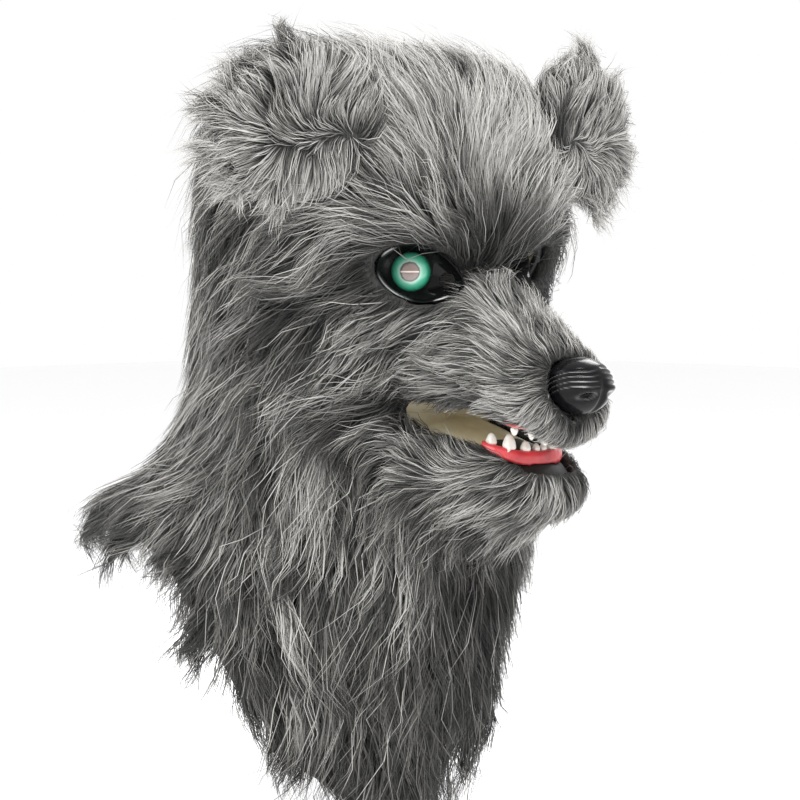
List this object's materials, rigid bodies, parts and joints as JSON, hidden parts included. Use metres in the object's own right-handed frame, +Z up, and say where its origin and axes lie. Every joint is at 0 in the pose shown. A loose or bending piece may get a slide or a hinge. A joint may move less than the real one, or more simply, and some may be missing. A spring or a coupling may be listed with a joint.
{
  "type": "wolf head mask",
  "caption": "Full-head wolf mask: hollow hard face and jaw, fabric hood and shoulder cape under a deep fur coat, round ears, open mouth with teeth.",
  "frame": {"origin": "the crown seat, the point inside the hood that rests on top of the wearer's head", "axes": "+Z up; the face looks along -Y; +X is the wolf's left"},
  "size_m": [0.3842, 0.4041, 0.5038],
  "materials": {
    "grey_fur": "long clumped grey plush fur with pale tips",
    "face_shell": "satin tan moulded shell",
    "hood_fabric": "knitted fur backing",
    "gloss_black": "glossy black",
    "eye_green": "clear glossy turquoise iris",
    "gum_red": "satin coral red",
    "tooth_white": "ivory gloss"
  },
  "bodies": {
    "root": {"fur_head": "grey_fur", "fur_cape": "grey_fur", "fur_muzzle": "grey_fur", "fur_jaw": "grey_fur", "ear_left": "grey_fur", "ear_right": "grey_fur", "face_shell": "face_shell", "jaw_shell": "face_shell", "hood_backing": "hood_fabric", "eye_cup_left": "gloss_black", "eye_cup_right": "gloss_black", "nose": "gloss_black", "eye_iris_left": "eye_green", "eye_iris_right": "eye_green", "lower_gum": "gum_red", "upper_gum": "gum_red", "lower_tooth_1": "tooth_white", "lower_tooth_2": "tooth_white", "lower_tooth_3": "tooth_white", "lower_tooth_4": "tooth_white", "lower_tooth_5": "tooth_white", "lower_tooth_6": "tooth_white", "lower_tooth_7": "tooth_white", "lower_tooth_8": "tooth_white", "upper_tooth_1": "tooth_white", "upper_tooth_2": "tooth_white", "upper_tooth_3": "tooth_white", "upper_tooth_4": "tooth_white", "upper_tooth_5": "tooth_white", "upper_tooth_6": "tooth_white"}
  },
  "joints": []
}
